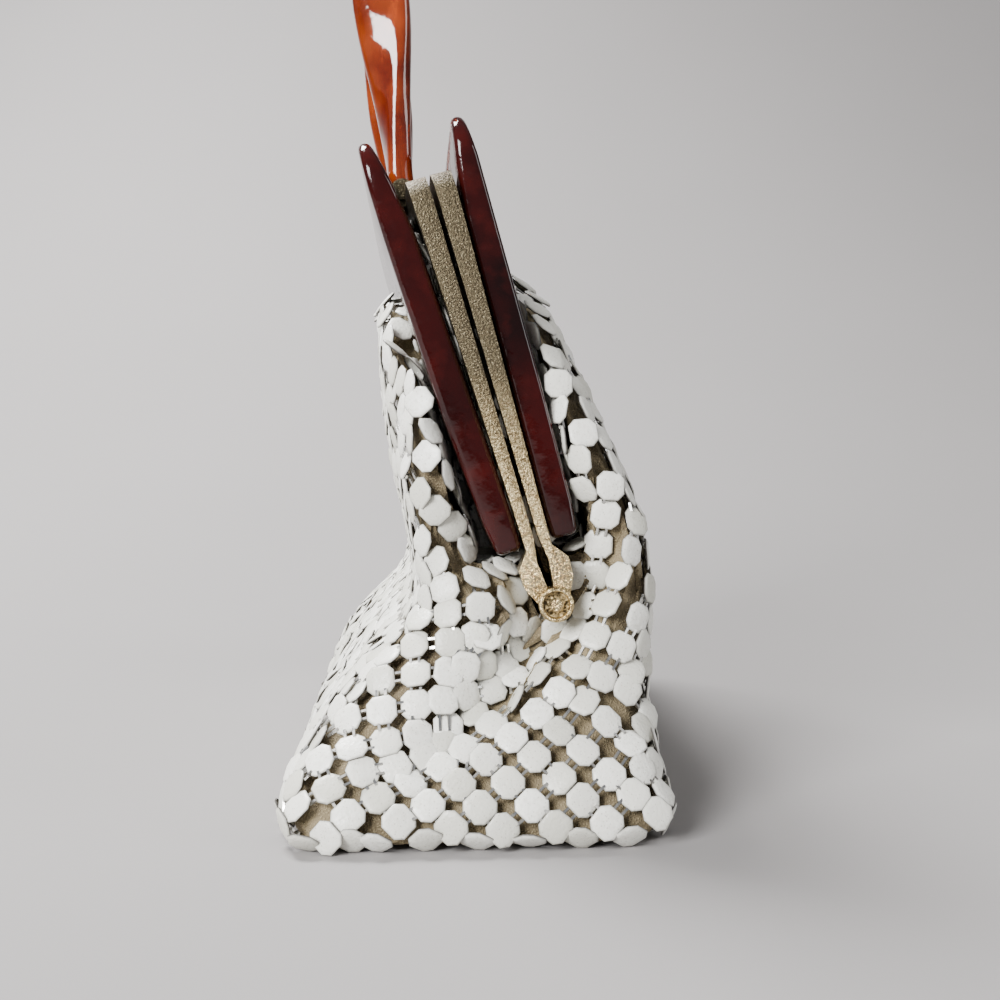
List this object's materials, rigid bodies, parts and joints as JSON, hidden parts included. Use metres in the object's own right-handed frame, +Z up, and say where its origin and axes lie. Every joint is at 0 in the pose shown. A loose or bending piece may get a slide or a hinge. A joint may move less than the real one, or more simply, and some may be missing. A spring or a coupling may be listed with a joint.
{
  "type": "metal mesh purse",
  "caption": "Soft pouch of small enamelled metal plates on a hinged brass frame, with lucite panels on both faces of the frame and a twisted lucite strap handle.",
  "frame": {"origin": "middle of the underside of the base, on the surface the purse stands on", "axes": "+Z up, Y along the purse's length and the hinge axis, +X to the front; the frame leans towards -X"},
  "size_m": [0.0797, 0.2274, 0.2412],
  "materials": {
    "enamel": "semi-gloss cream-white enamel on pressed plates",
    "lining": "tan woven lining",
    "brass": "worn and pitted gilt brass",
    "tortoise": "polished dark red-brown translucent lucite",
    "amber": "polished amber-red translucent lucite"
  },
  "bodies": {
    "purse": {"rear_frame": "brass", "rear_panel": "tortoise", "near_handle_pin": "brass", "far_handle_pin": "brass", "front_frame": "brass", "clasp": "brass", "front_panel": "tortoise", "near_hinge_rivet": "brass", "far_hinge_rivet": "brass", "mesh_base": "enamel", "rear_mesh_wall": "enamel", "front_mesh_wall": "enamel", "lining": "lining"},
    "handle": {"handle": "amber"}
  },
  "joints": [
    {"name": "handle_swing", "type": "hinge", "parent": "purse", "child": "handle", "pos_m": [-0.01512, 0, 0.13782], "axis": [0, 1, 0], "range_deg": [0, 28]}
  ]
}
